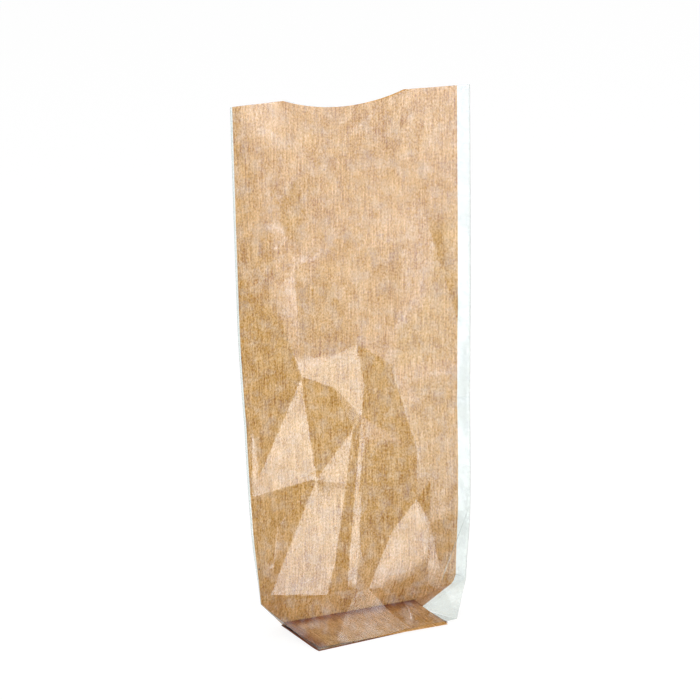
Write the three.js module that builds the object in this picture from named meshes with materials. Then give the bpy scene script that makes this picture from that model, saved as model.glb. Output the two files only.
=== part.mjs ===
// Standing flat-bottom bag: a clear film front glued round a kraft-paper back, with a kraft bottom patch.
// Millimetres, +Z up. The origin is under the middle of the bag, on the surface that it stands on.
import * as THREE from "three";

// Driving dimensions
const bagWidth = 120; // side fold to side fold, along the sheet
const bagHeight = 274; // mouth above the table
const bottomDepth = 46; // front to back of the block bottom, along the sheet
const filmThickness = 0.4;
const kraftThickness = 0.5;
const sheetGap = 0.3; // air between sheets that touch on the real bag
const foldRadius = 0.9; // how sharply the film turns round each side fold

const kraftInset = { left: 0.8, right: 5.3 }; // the kraft's cut edges, in from the side folds
const flapLength = 28; // how far each bottom flap reaches under the bag
const flapTaper = 6; // how much narrower its end is, on each side
const patchInset = 1; // the patch's edge, in from the bottom's edge
const notch = { middle: 57.4, width: 61, depth: 5.8 }; // thumb notch cut through both plies
const notchBlend = 40; // height over which the rows above follow the notch

// Half depth of the open bag at a height along the sheet
const swell = [
  { up: 23, half: 16.3 },
  { up: 60, half: 14.3 },
  { up: 115, half: 14.5 },
  { up: 165, half: 8.5 },
  { up: 218, half: 6.4 },
  { up: 275, half: 5.5 },
];
const roundFrom = 23; // the section is a flat-topped hexagon here
const roundTo = 130; // and a smooth lens from here up
const middleLine = [
  { up: 23, back: 1.4 },
  { up: 150, back: 1.0 },
  { up: 275, back: -7.0 },
]; // the bag leans forward towards its mouth
const mouthShift = 4.7; // and a little to the right
const tipHeight = 17.6; // side tips, where the side folds end
const kneeHeight = 22.9; // level crease across the front and back

// Corners of the bottom on the table: x, y
const corner = {
  frontLeft: [-33, -31],
  frontRight: [39, -14.5],
  backLeft: [-41, 16],
  backRight: [32, 24.5],
  sideLeft: [-37, -7.5],
  sideRight: [33.7, 9],
};
const flaredCorner = [44.5, -12.5]; // the film's front right corner stands out past the patch
const frameShift = { x: -3.9, y: 3.4 }; // brings the middle of the bag's box over the origin

// Crumpled front: points of the creases as [across, up, forward of the smooth bag]
const crease = {
  calmA: [0, 190, 0],
  calmB: [30, 190, 0],
  calmC: [60, 190, 0],
  calmD: [90, 190, 0],
  calmE: [120, 190, 0],
  foldHighLeft: [0, 137, 0],
  foldMidLeft: [0, 79, 0],
  tipLeft: [0, 23, 0],
  foldHighRight: [120, 138, 0],
  foldMidRight: [120, 60, 0],
  tipRight: [120, 23, 0],
  peak: [29, 137, 0.5],
  ridgeTop: [57, 151, 2],
  shoulder: [75, 138, 0],
  scoop: [45, 130, -0.5],
  dentSide: [60, 130, 0.5],
  dentFoot: [58, 114, -1.5],
  panelFoot: [35, 83, -3],
  bandTop: [53, 109, 2],
  bandRight: [46, 80, -1.5],
  bandLow: [42, 40, -3],
  bandFootRight: [37, 23, -4],
  bandFootLeft: [5, 29, 1],
  stripFootLeft: [47, 23, -3.5],
  stripRight: [60, 100, -0.5],
  stripFootRight: [50, 23, -3],
  flankHigh: [87, 93, 0],
  flankLow: [93, 76, -1.5],
  rightField: [104, 100, 0.5],
  finTop: [85, 68, -0.5],
  finLeft: [71, 50, -1.5],
  finFootLeft: [59, 23, -2.5],
  finRight: [91, 55, 1.5],
  finFootRight: [88, 23, 2],
  kneeLeft: [23, 23, 0],
  kneeRight: [97, 23, 0],
};
const facets = [
  ["calmA", "peak", "foldHighLeft"],
  ["calmA", "calmB", "peak"],
  ["calmB", "ridgeTop", "peak"],
  ["calmB", "calmC", "ridgeTop"],
  ["calmC", "shoulder", "ridgeTop"],
  ["calmC", "calmD", "shoulder"],
  ["calmD", "foldHighRight", "shoulder"],
  ["calmD", "calmE", "foldHighRight"],
  ["foldHighLeft", "peak", "foldMidLeft"],
  ["peak", "panelFoot", "foldMidLeft"],
  ["peak", "ridgeTop", "scoop"],
  ["ridgeTop", "dentSide", "scoop"],
  ["scoop", "dentSide", "dentFoot"],
  ["ridgeTop", "shoulder", "dentSide"],
  ["peak", "scoop", "bandTop"],
  ["scoop", "dentFoot", "bandTop"],
  ["peak", "bandTop", "panelFoot"],
  ["foldMidLeft", "panelFoot", "bandFootLeft"],
  ["foldMidLeft", "bandFootLeft", "tipLeft"],
  ["tipLeft", "bandFootLeft", "kneeLeft"],
  ["bandFootLeft", "bandFootRight", "kneeLeft"],
  ["bandTop", "bandRight", "panelFoot"],
  ["panelFoot", "bandRight", "bandLow"],
  ["panelFoot", "bandLow", "bandFootLeft"],
  ["bandFootLeft", "bandLow", "bandFootRight"],
  ["bandTop", "dentFoot", "bandRight"],
  ["dentFoot", "stripFootLeft", "bandRight"],
  ["bandRight", "stripFootLeft", "bandLow"],
  ["bandLow", "stripFootLeft", "bandFootRight"],
  ["dentFoot", "stripRight", "stripFootLeft"],
  ["stripRight", "stripFootRight", "stripFootLeft"],
  ["dentSide", "shoulder", "flankHigh"],
  ["dentSide", "flankHigh", "dentFoot"],
  ["dentFoot", "flankHigh", "stripRight"],
  ["flankHigh", "finTop", "stripRight"],
  ["finTop", "finLeft", "stripRight"],
  ["finLeft", "finFootLeft", "stripRight"],
  ["stripRight", "finFootLeft", "stripFootRight"],
  ["shoulder", "rightField", "flankHigh"],
  ["shoulder", "foldHighRight", "rightField"],
  ["flankHigh", "rightField", "flankLow"],
  ["rightField", "foldHighRight", "foldMidRight"],
  ["rightField", "foldMidRight", "flankLow"],
  ["flankHigh", "flankLow", "finTop"],
  ["flankLow", "finRight", "finTop"],
  ["flankLow", "foldMidRight", "finRight"],
  ["finTop", "finRight", "finLeft"],
  ["finLeft", "finFootRight", "finFootLeft"],
  ["finLeft", "finRight", "finFootRight"],
  ["finRight", "foldMidRight", "kneeRight"],
  ["finRight", "kneeRight", "finFootRight"],
  ["foldMidRight", "tipRight", "kneeRight"],
];
const calmFrom = 160; // the facets fade into the smooth bag from here up
const calmTo = 190;
const foldFade = 4; // and over this width next to the side folds

// Mesh density
const sideColumns = 4; // over the half bottom depth next to each fold
const middleColumns = 16; // over the rest of a ply
const crumpledRows = 22;
const calmRows = 8;

const FRONT = -1;
const BACK = 1;
const tipUp = bottomDepth / 2; // distance from the bottom's edge to a side tip, along the sheet
const mouthUp = 275; // length of the sheet above the bottom's edge
const halfWidth = bagWidth / 2;
const patchTop = kraftThickness;
const baseLevel = patchTop + sheetGap + filmThickness / 2; // middle of the film under the bag
const kraftOffset = filmThickness / 2 + sheetGap + kraftThickness / 2; // kraft's middle, inside the film's

const clamp = (value, low, high) => Math.min(Math.max(value, low), high);
const lerp = (a, b, k) => a + (b - a) * k;

function ease(from, to, value) {
  const k = clamp((value - from) / (to - from), 0, 1);
  return k * k * (3 - 2 * k);
}

// Straight lines between the rows of a table, such as the swell
function along(table, key, up) {
  for (let i = 1; i < table.length; i++) {
    const [low, high] = [table[i - 1], table[i]];
    if (up <= high.up || i === table.length - 1) {
      const k = clamp((up - low.up) / (high.up - low.up), 0, 1);
      return lerp(low[key], high[key], k);
    }
  }
}

// Half of a ply's cross-section at one height. The sheet leaves the side fold at a slope, which is
// constant up to the knee in the hexagon and falls evenly to the middle in the lens, and its length
// along the curve stays half the bag's width.
function sectionAt(up) {
  const steps = 120;
  const step = halfWidth / steps;
  const rise = along(swell, "half", up) - foldRadius;
  const roundness = ease(roundFrom, roundTo, up);
  const kneeWidth = 2 + 20 * roundness;
  const hexagon = [];
  let hexagonRise = 0;
  for (let i = 0; i <= steps; i++) {
    const inward = i * step;
    hexagon.push(1 - ease(tipUp - kneeWidth / 2, tipUp + kneeWidth / 2, inward));
    hexagonRise += hexagon[i] * step * (i === 0 || i === steps ? 0.5 : 1);
  }
  const slope = hexagon.map((value, i) => {
    const lens = (2 * rise / halfWidth) * (1 - i / steps);
    return clamp((1 - roundness) * value * rise / hexagonRise + roundness * lens, 0, 0.999);
  });
  const run = slope.map((value) => Math.sqrt(1 - value * value));
  const depth = [0];
  const reach = [0];
  for (let i = 1; i <= steps; i++) {
    depth.push(depth[i - 1] + (slope[i] + slope[i - 1]) / 2 * step);
    reach.push(reach[i - 1] + (run[i] + run[i - 1]) / 2 * step);
  }
  const sample = (list, inward) => {
    const place = clamp(inward / step, 0, steps);
    const i = Math.min(Math.floor(place), steps - 1);
    return lerp(list[i], list[i + 1], place - i);
  };
  return (inward) => ({ x: reach[steps] - sample(reach, inward), depth: sample(depth, inward) });
}

const sections = new Map();
function section(up, inward) {
  if (!sections.has(up)) {
    sections.set(up, sectionAt(up));
  }
  return sections.get(up)(inward);
}

const onBase = ([x, y]) => new THREE.Vector3(x, y, baseLevel);

// The part of a ply above the side tips
function bodyPoint(across, up, side) {
  const inward = Math.min(across, bagWidth - across);
  const hand = across < halfWidth ? -1 : 1;
  const { x, depth } = section(up, inward);
  const rise = (up - tipUp) / (mouthUp - tipUp);
  const startHeight = lerp(kneeHeight, tipHeight, ease(0, 1, clamp(1 - inward / tipUp, 0, 1)));
  const y = along(middleLine, "back", up) + side * (foldRadius + depth);
  return new THREE.Vector3(hand * x + mouthShift * rise, y, lerp(startHeight, bagHeight, rise));
}

// The part below: a sloping panel down to the bottom's edge, and half of each side triangle,
// which folds from the tip to the corner
function skirtPoint(across, up, side, topEdge) {
  const inward = Math.min(across, bagWidth - across);
  const [left, right] = side === FRONT
    ? [corner.frontLeft, flaredCorner] : [corner.backLeft, corner.backRight];
  const lift = up / tipUp;
  if (inward >= tipUp) {
    const k = (across - tipUp) / (bagWidth - bottomDepth);
    return onBase(left).lerp(onBase(right), k).lerp(topEdge(across), lift);
  }
  const atLeft = across < halfWidth;
  const foot = onBase(atLeft ? left : right);
  const middle = onBase(atLeft ? corner.sideLeft : corner.sideRight);
  const tip = topEdge(atLeft ? 0 : bagWidth);
  const knee = topEdge(atLeft ? tipUp : bagWidth - tipUp);
  middle.add(foot.clone().sub(middle).setLength(foldRadius));
  const turn = 1 - inward / tipUp;
  const [liftStep, turnStep] = lift > turn
    ? [knee.clone().sub(foot), tip.clone().sub(knee)]
    : [tip.clone().sub(middle), middle.clone().sub(foot)];
  return foot.addScaledVector(liftStep, lift).addScaledVector(turnStep, turn);
}

// How far the notch lowers the mouth's edge at a place across the bag: an arc over its width
function notchDrop(across) {
  const half = notch.width / 2;
  const radius = (half * half + notch.depth * notch.depth) / (2 * notch.depth);
  const away = Math.abs(across - notch.middle);
  return away >= half ? 0 : Math.sqrt(radius * radius - away * away) - (radius - notch.depth);
}

function followNotch(across, up) {
  const k = clamp((up - (mouthUp - notchBlend)) / notchBlend, 0, 1);
  return up - k * notchDrop(across);
}

const creasePoints = new Map(Object.entries(crease).map(([name, [across, up, forward]]) => {
  const point = bodyPoint(across, up, FRONT);
  point.y -= forward;
  return [name, point];
}));

// Where a place on the front lies inside a crease triangle, as three weights, or nothing outside it
function weightsIn(names, across, up) {
  const [[ax, ay], [bx, by], [cx, cy]] = names.map((name) => crease[name]);
  const area = (bx - ax) * (cy - ay) - (cx - ax) * (by - ay);
  const second = ((across - ax) * (cy - ay) - (cx - ax) * (up - ay)) / area;
  const third = ((bx - ax) * (up - ay) - (across - ax) * (by - ay)) / area;
  const weights = [1 - second - third, second, third];
  return weights.every((weight) => weight > -1e-6) ? weights : null;
}

// The front film above the tips: flat facets between the creases, faded out at the folds and upwards
function crumpledPoint(across, up) {
  const smooth = bodyPoint(across, up, FRONT);
  const inward = Math.min(across, bagWidth - across);
  const amount = (1 - ease(calmFrom, calmTo, up)) * ease(0, foldFade, inward);
  for (const names of amount > 0 ? facets : []) {
    const weights = weightsIn(names, across, up);
    if (weights) {
      const flat = new THREE.Vector3();
      names.forEach((name, i) => flat.addScaledVector(creasePoints.get(name), weights[i]));
      return smooth.lerp(flat, amount);
    }
  }
  return smooth;
}

function plyPoint(across, up, side) {
  const above = side === FRONT ? crumpledPoint : (a, u) => bodyPoint(a, u, BACK);
  const place = followNotch(across, up);
  return place >= tipUp ? above(across, place)
    : skirtPoint(across, place, side, (a) => above(a, tipUp));
}

// The bottom flap runs inward from the bottom's edge, flat under the bag, and narrows to its end
function flapPoint(across, reach, side) {
  const half = halfWidth - tipUp;
  const narrowed = halfWidth + (across - halfWidth) * (1 - flapTaper / half * reach / flapLength);
  const k = (narrowed - tipUp) / (2 * half);
  const { frontLeft, frontRight, backLeft, backRight } = corner;
  const front = onBase(frontLeft).lerp(onBase(side === FRONT ? flaredCorner : frontRight), k);
  const back = onBase(backLeft).lerp(onBase(backRight), k);
  const [edge, far] = side === FRONT ? [front, back] : [back, front];
  return edge.clone().addScaledVector(far.sub(edge).normalize(), reach);
}

// The film's strip round a side fold: a half circle above the tip that opens out flat below it
function foldPoint(atLeft, up, angle) {
  const across = atLeft ? 0 : bagWidth;
  const front = plyPoint(across, up, FRONT);
  const back = plyPoint(across, up, BACK);
  const radius = front.distanceTo(back) / 2;
  const bulge = radius * Math.cos(angle) * ease(tipUp, tipUp + 30, up) * (atLeft ? -1 : 1);
  const point = front.lerp(back, (1 + Math.sin(angle)) / 2);
  point.x += bulge;
  return point;
}

// A closed thin sheet over a grid of middle points: the two faces stand off along the corner
// normals, and a wall closes every free edge. Cells whose corners are missing are left out.
function sheetGeometry(grid, offset, thickness, slant) {
  const points = [];
  const index = grid.map((row) => row.map((point) => (point ? points.push(point) - 1 : -1)));
  const triangles = [];
  for (let j = 0; j + 1 < index.length; j++) {
    for (let i = 0; i + 1 < index[j].length; i++) {
      const [a, b, c, d] = [index[j][i], index[j][i + 1], index[j + 1][i + 1], index[j + 1][i]];
      if (Math.min(a, b, c, d) < 0) {
        continue;
      }
      triangles.push(...(slant(i, j) ? [[a, b, c], [a, c, d]] : [[a, b, d], [b, c, d]]));
    }
  }
  const normals = points.map(() => new THREE.Vector3());
  for (const [a, b, c] of triangles) {
    const across = points[b].clone().sub(points[a]);
    const normal = across.cross(points[c].clone().sub(points[a]));
    [a, b, c].forEach((corner) => normals[corner].add(normal));
  }
  const vertices = [];
  for (const side of [1, -1]) {
    points.forEach((point, i) => {
      const away = offset + side * thickness / 2;
      vertices.push(...point.clone().addScaledVector(normals[i].normalize(), away).toArray());
    });
  }
  const inner = points.length;
  const faces = [];
  const edges = new Map();
  for (const [a, b, c] of triangles) {
    faces.push(a, b, c, inner + a, inner + c, inner + b);
    [[a, b], [b, c], [c, a]].forEach(([from, to]) => edges.set(`${from}_${to}`, [from, to]));
  }
  for (const [from, to] of edges.values()) {
    if (!edges.has(`${to}_${from}`)) {
      faces.push(from, inner + from, to, to, inner + from, inner + to);
    }
  }
  const geometry = new THREE.BufferGeometry();
  geometry.setAttribute("position", new THREE.Float32BufferAttribute(vertices, 3));
  geometry.setIndex(faces);
  geometry.computeVertexNormals();
  return geometry;
}

const spaced = (from, to, count) => Array.from({ length: count + 1 }, (_, i) => lerp(from, to, i / count));

// Rows shared by both plies: the bottom's edge, the tips, the crumpled part and the calm part
const rows = [
  ...spaced(0, tipUp, sideColumns),
  ...spaced(tipUp, calmFrom, crumpledRows).slice(1),
  ...spaced(calmFrom, mouthUp, calmRows).slice(1),
];
const sideSpots = spaced(0, tipUp, sideColumns);
const middleSpots = spaced(tipUp, bagWidth - tipUp, middleColumns).slice(1, -1);
const farSpots = sideSpots.map((spot) => bagWidth - spot).reverse();
const flapRows = [flapLength, flapLength / 2];

// In the side triangles each cell is split along the fold from the tip to the corner
function slantFor(columns) {
  return (i) => columns[i].across + columns[i + 1].across > bagWidth;
}

function filmGeometry() {
  const wrap = 2 * tipUp / sideColumns; // how far the film laps over the kraft at the back
  const lap = sideSpots.filter((spot) => spot <= wrap);
  const foldAngles = [Math.PI / 6, -Math.PI / 6];
  const ply = (side) => (across) => ({ across, at: (up) => plyPoint(across, up, side) });
  const fold = (atLeft) => (angle) => ({
    across: atLeft ? 0 : bagWidth,
    at: (up) => foldPoint(atLeft, up, angle),
  });
  const front = [...sideSpots, ...middleSpots, ...farSpots].map((across) => ({
    ...ply(FRONT)(across),
    flap: across >= tipUp && across <= bagWidth - tipUp,
  }));
  const columns = [
    ...lap.map((spot) => ply(BACK)(spot)).reverse(),
    ...foldAngles.map(fold(true)),
    ...front,
    ...foldAngles.map(fold(false)).reverse(),
    ...lap.map((spot) => ply(BACK)(bagWidth - spot)),
  ];
  const onFront = (column) => front.includes(column);
  const grid = [
    ...flapRows.map((reach) => columns.map((c) => (c.flap ? flapPoint(c.across, reach, FRONT) : null))),
    ...rows.map((up) => columns.map((column) => column.at(up))),
  ];
  const slant = (i) => {
    const rising = slantFor(columns)(i);
    return onFront(columns[i]) || onFront(columns[i + 1]) ? rising : !rising;
  };
  return sheetGeometry(grid, 0, filmThickness, slant);
}

function kraftGeometry() {
  const left = sideSpots.map((spot) => Math.max(spot, kraftInset.left));
  const right = farSpots.filter((spot) => spot < bagWidth - kraftInset.right - 1);
  const spots = [...left, ...middleSpots, ...right, bagWidth - kraftInset.right].reverse();
  const columns = spots.map((across) => ({ across }));
  const inFlap = (across) => across >= tipUp && across <= bagWidth - tipUp;
  const grid = [
    ...flapRows.map((reach) => spots.map((a) => (inFlap(a) ? flapPoint(a, reach, BACK) : null))),
    ...rows.map((up) => spots.map((across) => plyPoint(across, up, BACK))),
  ];
  return sheetGeometry(grid, -kraftOffset, kraftThickness, (i) => !slantFor(columns)(i));
}

// The bottom patch: the outline of the bottom, drawn in a little on every side
function patchGeometry() {
  const outline = [corner.frontLeft, corner.frontRight, corner.backRight, corner.backLeft]
    .map(([x, y]) => new THREE.Vector2(x, y));
  const middle = outline.reduce((sum, point) => sum.add(point), new THREE.Vector2()).divideScalar(4);
  const inset = outline.map((point) => {
    const inward = middle.clone().sub(point);
    return point.clone().addScaledVector(inward.normalize(), patchInset * Math.SQRT2);
  });
  return new THREE.ExtrudeGeometry(new THREE.Shape(inset), { depth: patchTop, bevelEnabled: false });
}

function piece(name, geometry, colour, roughness, opacity = 1) {
  const material = new THREE.MeshStandardMaterial({
    color: colour, roughness, metalness: 0, opacity, transparent: opacity < 1,
  });
  const mesh = new THREE.Mesh(geometry, material);
  mesh.name = name;
  return mesh;
}

const bag = new THREE.Group();
bag.position.set(frameShift.x, frameShift.y, 0);
bag.add(piece("film_front", filmGeometry(), 0xf1f4f3, 0.12, 0.25));
bag.add(piece("kraft_back", kraftGeometry(), 0xc4a56e, 0.75));
bag.add(piece("bottom_patch", patchGeometry(), 0xb9965f, 0.8));

export default bag;
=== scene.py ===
# Standing block-bottom bag: clear film front, kraft-paper back, kraft bottom patch.
# Shapes are in millimetres on the unrolled sheet (across, up) and go into Blender in metres.
import math
import bpy
import numpy as np
from mathutils import Matrix, Vector


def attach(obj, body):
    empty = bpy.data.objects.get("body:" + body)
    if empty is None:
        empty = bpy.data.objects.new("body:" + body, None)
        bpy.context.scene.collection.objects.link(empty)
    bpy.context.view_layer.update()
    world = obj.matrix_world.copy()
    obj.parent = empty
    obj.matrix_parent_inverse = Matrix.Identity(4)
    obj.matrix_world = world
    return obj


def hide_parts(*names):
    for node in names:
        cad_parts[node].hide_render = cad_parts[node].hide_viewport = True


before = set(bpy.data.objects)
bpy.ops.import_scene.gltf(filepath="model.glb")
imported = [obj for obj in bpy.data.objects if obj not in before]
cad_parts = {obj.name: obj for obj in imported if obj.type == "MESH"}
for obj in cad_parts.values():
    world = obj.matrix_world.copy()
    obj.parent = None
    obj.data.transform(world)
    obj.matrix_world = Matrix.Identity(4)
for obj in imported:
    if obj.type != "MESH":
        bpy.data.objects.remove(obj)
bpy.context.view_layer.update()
print("frame loaded:", sorted(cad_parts))

mm = 0.001  # a millimetre in metres
tiny = 1e-6  # mm: places nearer than this are the same
creaseAngle = 55  # degrees: a sharper fold keeps a hard edge

bag = {
    "width": 120.0,  # side fold to side fold, along the sheet
    "length": 275.0,  # of the sheet, above the bottom's edge
    "height": 274.0,  # mouth above the table
    "bottomDepth": 46.0,
    "tipHeight": 17.6,  # side tips, where the side folds end
    "kneeHeight": 22.9,  # level crease across the front and back
    "mouthShift": 4.7,  # the bag leans a little to the right
    "foldRadius": 0.45,  # under the side tips
    "foldDepth": 0.9,  # of each ply at a side fold, from the middle line
    "baseLevel": 0.75,  # middle of the film under the bag
    # from the middle line to each ply, at heights up the sheet
    "swell": [[23, 16.3], [60, 14.3], [115, 14.5], [165, 8.5], [218, 6.4], [275, 5.5]],
    "middleLine": [[23, 1.4], [150, 1.0], [275, -7.0]],  # how far back it stands at those heights
    "roundFrom": 23.0,  # the section is a hexagon here
    "roundTo": 130.0,  # and a lens from here up
    "kneeWidth": [2.0, 22.0],  # how gently the section bends, in the hexagon and in the lens
    "steepest": 0.999,  # slope of the section, as a sine
    "shift": [-3.9, 3.4, 0.0],  # brings the bag over the frame's origin
}
corner = {  # of the bottom, on the table
    "frontLeft": [-33, -31], "frontRight": [39, -14.5], "flaredRight": [44.5, -12.5],
    "backLeft": [-41, 16], "backRight": [32, 24.5],
    "sideLeft": [-37, -7.5], "sideRight": [33.7, 9],
}
notch = {"middle": 57.4, "width": 61.0, "depth": 5.8, "blend": 40.0}
tipUp = bag["bottomDepth"] / 2
halfWidth = bag["width"] / 2
front, back = -1, 1  # the two plies


def ease(low, high, value):  # a smooth step from 0 to 1
    k = np.clip((value - low) / (high - low), 0, 1)
    return k * k * (3 - 2 * k)


def mix(a, b, k):  # a straight blend from a to b
    return a + (b - a) * k


def along(rows, up):  # straight lines between the rows of a table
    table = np.array(rows, float)
    return np.interp(up, table[:, 0], table[:, 1])


# Half of a ply's cross-section for a column of heights. The sheet leaves the side fold at a slope that
# is constant up to the knee in the hexagon and falls evenly to the middle in the lens. Summing the slope
# and its cosine along the sheet gives the depth and the reach, so the sheet's own width stays the same.
def sectionTable(rowCount=253, columnCount=241):
    up = np.linspace(tipUp, bag["length"], rowCount)[:, None]
    inward = np.linspace(0, halfWidth, columnCount)[None]
    step = inward[0, 1]
    rise = along(bag["swell"], up) - bag["foldDepth"]
    roundness = ease(bag["roundFrom"], bag["roundTo"], up)
    kneeWidth = mix(*bag["kneeWidth"], roundness)
    hexagon = 1 - ease(tipUp - kneeWidth / 2, tipUp + kneeWidth / 2, inward)
    area = ((hexagon[:, 1:] + hexagon[:, :-1]) / 2 * step).sum(1, keepdims=True)
    lens = 2 * rise / halfWidth * (1 - inward / halfWidth)
    slope = np.clip((1 - roundness) * hexagon * rise / area + roundness * lens, 0, bag["steepest"])
    run = np.sqrt(1 - slope * slope)
    summed = [np.cumsum((part[:, 1:] + part[:, :-1]) / 2 * step, 1) for part in (slope, run)]
    depth, reach = [np.concatenate([np.zeros((rowCount, 1)), part], 1) for part in summed]
    return reach[:, -1:] - reach, depth + bag["foldDepth"]


sections = sectionTable()


def readSection(up, inward):  # bilinear look-up: distance from the middle, and depth
    rows, columns = sections[0].shape
    j = np.clip((up - tipUp) / (bag["length"] - tipUp), 0, 1) * (rows - 1)
    i = np.clip(inward / halfWidth, 0, 1) * (columns - 1)
    j0 = np.minimum(j.astype(int), rows - 2)
    i0 = np.minimum(i.astype(int), columns - 2)
    fj, fi = j - j0, i - i0
    return [mix(mix(t[j0, i0], t[j0, i0 + 1], fi), mix(t[j0 + 1, i0], t[j0 + 1, i0 + 1], fi), fj)
            for t in sections]


# A ply above the side tips: the section at that height, moved along the bag's leaning middle line
def bodyPoint(across, up, side):
    across, up = np.broadcast_arrays(np.asarray(across, float), np.asarray(up, float))
    inward = np.minimum(across, bag["width"] - across)
    x, depth = readSection(up, inward)
    rise = (up - tipUp) / (bag["length"] - tipUp)
    start = mix(bag["kneeHeight"], bag["tipHeight"], ease(0, 1, np.clip(1 - inward / tipUp, 0, 1)))
    return np.stack([
        np.where(across < halfWidth, -x, x) + bag["mouthShift"] * rise,
        along(bag["middleLine"], up) + side * depth,
        mix(start, bag["height"], rise),
    ], -1)


def onBase(name):  # a corner of the bottom, at the film's level there
    return np.array([*corner[name], bag["baseLevel"]], float)


# A ply below the tips. Its panel is ruled straight from the knee line to the bottom's edge. Beside it
# is half of each side: two flat triangles that fold along the line from the tip to the corner.
def skirtPoint(across, up, side):
    across, up = np.broadcast_arrays(np.asarray(across, float), np.asarray(up, float))
    left, right = ("frontLeft", "flaredRight") if side == front else ("backLeft", "backRight")
    lift = (up / tipUp)[..., None]
    k = np.clip((across - tipUp) / (bag["width"] - 2 * tipUp), 0, 1)[..., None]
    panel = mix(mix(onBase(left), onBase(right), k), bodyPoint(across, tipUp, side), lift)
    inward = np.minimum(across, bag["width"] - across)
    turn = np.clip(1 - inward / tipUp, 0, 1)[..., None]
    triangles = []
    for footName, middleName, tipAt, kneeAt in (
        (left, "sideLeft", 0, tipUp), (right, "sideRight", bag["width"], bag["width"] - tipUp),
    ):
        foot, middle = onBase(footName), onBase(middleName)
        middle = middle + (foot - middle) / np.linalg.norm(foot - middle) * bag["foldRadius"]
        tip, knee = bodyPoint(tipAt, tipUp, side), bodyPoint(kneeAt, tipUp, side)
        upper = foot + lift * (knee - foot) + turn * (tip - knee)
        lower = foot + lift * (tip - middle) + turn * (middle - foot)
        triangles.append(np.where(lift > turn, upper, lower))
    sidePart = np.where((across < halfWidth)[..., None], *triangles)
    return np.where((inward >= tipUp)[..., None], panel, sidePart)


# How far the notch drops below the mouth: a circular arc over the notch's width, zero beside it
def notchDrop(across):
    half, depth = notch["width"] / 2, notch["depth"]
    radius = (half * half + depth * depth) / (2 * depth)
    away = np.minimum(np.abs(across - notch["middle"]), half)
    return np.sqrt(radius * radius - away * away) - (radius - depth)


# A place on the sheet moved down by a share of the notch's drop, which grows evenly up to the mouth
def followNotch(across, up):
    k = np.clip((up - (bag["length"] - notch["blend"])) / notch["blend"], 0, 1)
    return up - k * notchDrop(across)


# A place on a whole ply: the body above the side tips, the skirt below them
def plyPoint(across, up, side):
    place = followNotch(across, up)
    above = bodyPoint(across, np.maximum(place, tipUp), side)
    below = skirtPoint(across, np.minimum(place, tipUp), side)
    return np.where((place >= tipUp)[..., None], above, below)


# Points and triangles become a closed thin sheet. Both faces stand off along the corner normals, and a
# wall closes every free edge. sheetAt holds each point's place on the unrolled sheet, for the UV map.
def shellMesh(name, points, triangles, sheetAt, thickness, offset=0.0):
    p = points * mm
    first, second, third = p[triangles.T]
    faceNormal = np.cross(second - first, third - first)
    normal = np.zeros_like(p)
    for k in range(3):
        np.add.at(normal, triangles[:, k], faceNormal)
    normal /= np.maximum(np.linalg.norm(normal, axis=1, keepdims=True), 1e-15)  # never by zero
    outer = p + normal * (offset + thickness / 2) * mm
    inner = p + normal * (offset - thickness / 2) * mm
    count = len(p)
    edges = np.concatenate([triangles[:, [0, 1]], triangles[:, [1, 2]], triangles[:, [2, 0]]])
    forward = edges[:, 0] * count + edges[:, 1]
    backward = edges[:, 1] * count + edges[:, 0]
    rim = edges[~np.isin(forward, backward)]
    a, b = rim[:, 0], rim[:, 1]
    faces = np.concatenate([
        triangles, triangles[:, ::-1] + count,
        np.stack([a, a + count, b], 1), np.stack([b, a + count, b + count], 1),
    ])
    mesh = bpy.data.meshes.new(name)
    vertices = np.concatenate([outer, inner])
    mesh.vertices.add(len(vertices))
    mesh.vertices.foreach_set("co", vertices.astype(np.float32).ravel())
    mesh.loops.add(faces.size)
    mesh.loops.foreach_set("vertex_index", faces.astype(np.int32).ravel())
    mesh.polygons.add(len(faces))
    mesh.polygons.foreach_set("loop_start", np.arange(0, faces.size, 3, dtype=np.int32))
    mesh.update(calc_edges=True)
    uv = mesh.uv_layers.new(name="sheet")
    both = np.concatenate([sheetAt, sheetAt]) * mm
    uv.data.foreach_set("uv", both[faces.ravel()].astype(np.float32).ravel())
    mesh.polygons.foreach_set("use_smooth", np.ones(len(faces), bool))
    mesh.set_sharp_from_angle(angle=math.radians(creaseAngle))
    mesh.validate()
    made = bpy.data.objects.new(name, mesh)
    bpy.context.scene.collection.objects.link(made)
    print(f"{name}: {len(faces)} triangles")
    return made


def gridTriangles(rows, columns, slant=None):  # slant marks the cells split the other way
    index = np.arange(rows * columns).reshape(rows, columns)
    a, b, c, d = index[:-1, :-1], index[:-1, 1:], index[1:, 1:], index[1:, :-1]
    if slant is None:
        slant = np.zeros(a.shape, bool)
    first = np.where(slant[..., None], np.stack([a, b, c], -1), np.stack([a, b, d], -1))
    second = np.where(slant[..., None], np.stack([a, c, d], -1), np.stack([b, c, d], -1))
    return np.concatenate([first.reshape(-1, 3), second.reshape(-1, 3)])


def weld(parts, reach=2e-4):  # joins parts whose points meet: [(points, sheetAt, triangles), ...]
    points = np.concatenate([part[0] for part in parts])
    sheetAt = np.concatenate([part[1] for part in parts])
    starts = np.cumsum([0] + [len(part[0]) for part in parts])
    triangles = np.concatenate([part[2] + start for part, start in zip(parts, starts)])
    key = np.round(points / reach).astype(np.int64)
    _, firstOf, welded = np.unique(key, axis=0, return_index=True, return_inverse=True)
    triangles = welded.ravel()[triangles]
    whole = (triangles[:, 0] != triangles[:, 1]) & (triangles[:, 1] != triangles[:, 2]) \
        & (triangles[:, 2] != triangles[:, 0])
    return points[firstOf], sheetAt[firstOf], triangles[whole]


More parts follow.
